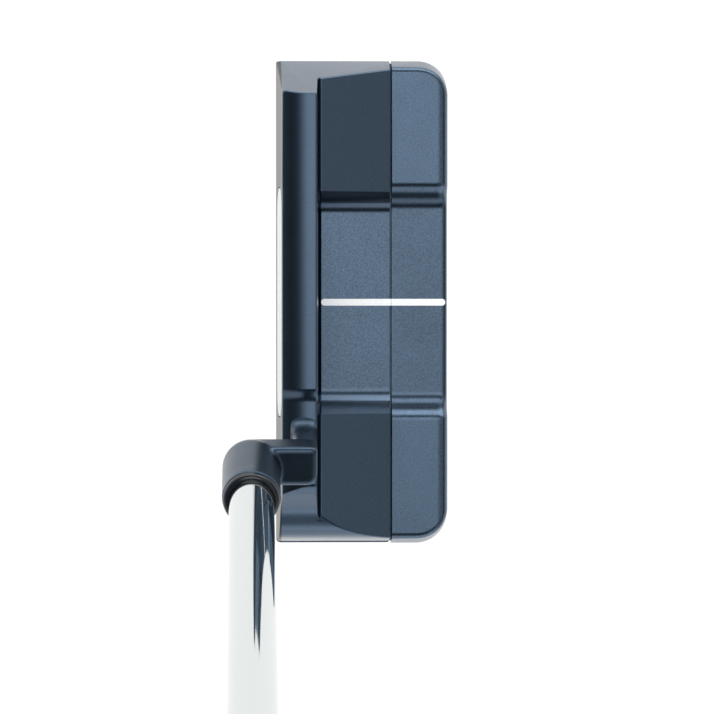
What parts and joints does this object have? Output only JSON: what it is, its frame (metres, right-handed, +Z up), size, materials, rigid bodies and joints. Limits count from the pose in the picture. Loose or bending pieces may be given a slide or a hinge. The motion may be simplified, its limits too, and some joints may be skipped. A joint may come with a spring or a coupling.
{
  "type": "mallet putter",
  "caption": "Wide mallet putter for a right-handed player: stepped flange with a sight line, white face insert, crank neck, stepped steel shaft and rubber grip.",
  "frame": {"origin": "on the sole, under the middle of the head's length and depth, with the club at address", "axes": "+Z up, square to the ground; -Y is the way the face looks; +X is towards the heel and the player, -X towards the toe; the shaft leans 20 degrees from +Z towards +X"},
  "size_m": [0.3976, 0.0608, 0.8395],
  "materials": {
    "navy_satin": "satin",
    "navy_blasted": "satin",
    "white_line": "satin",
    "white_urethane": "satin",
    "plain_aluminium": "satin",
    "black_tape": "matte",
    "steel_weight": "satin",
    "black_plastic": "gloss",
    "epoxy": "satin",
    "chrome": "polished",
    "grip_rubber": "matte",
    "grip_skin": "matte"
  },
  "bodies": {
    "root": {"head_body": "navy_satin", "rear_flange": "navy_blasted", "sight_line_front": "white_line", "sight_line_rear": "white_line", "face_insert": "white_urethane", "insert_backer": "plain_aluminium", "insert_tape": "black_tape", "crank_neck": "navy_satin", "toe_weight": "steel_weight", "heel_weight": "steel_weight", "flange_screw_1": "steel_weight", "flange_screw_2": "steel_weight", "flange_screw_3": "steel_weight", "flange_screw_4": "steel_weight", "shaft_ferrule": "black_plastic", "shaft_epoxy": "epoxy", "shaft_tip_plug": "black_plastic", "shaft": "chrome", "grip_tape": "black_tape", "grip_core": "grip_rubber", "grip_wrap": "grip_skin", "grip_collar": "grip_rubber", "grip_cap": "grip_rubber"}
  },
  "joints": []
}
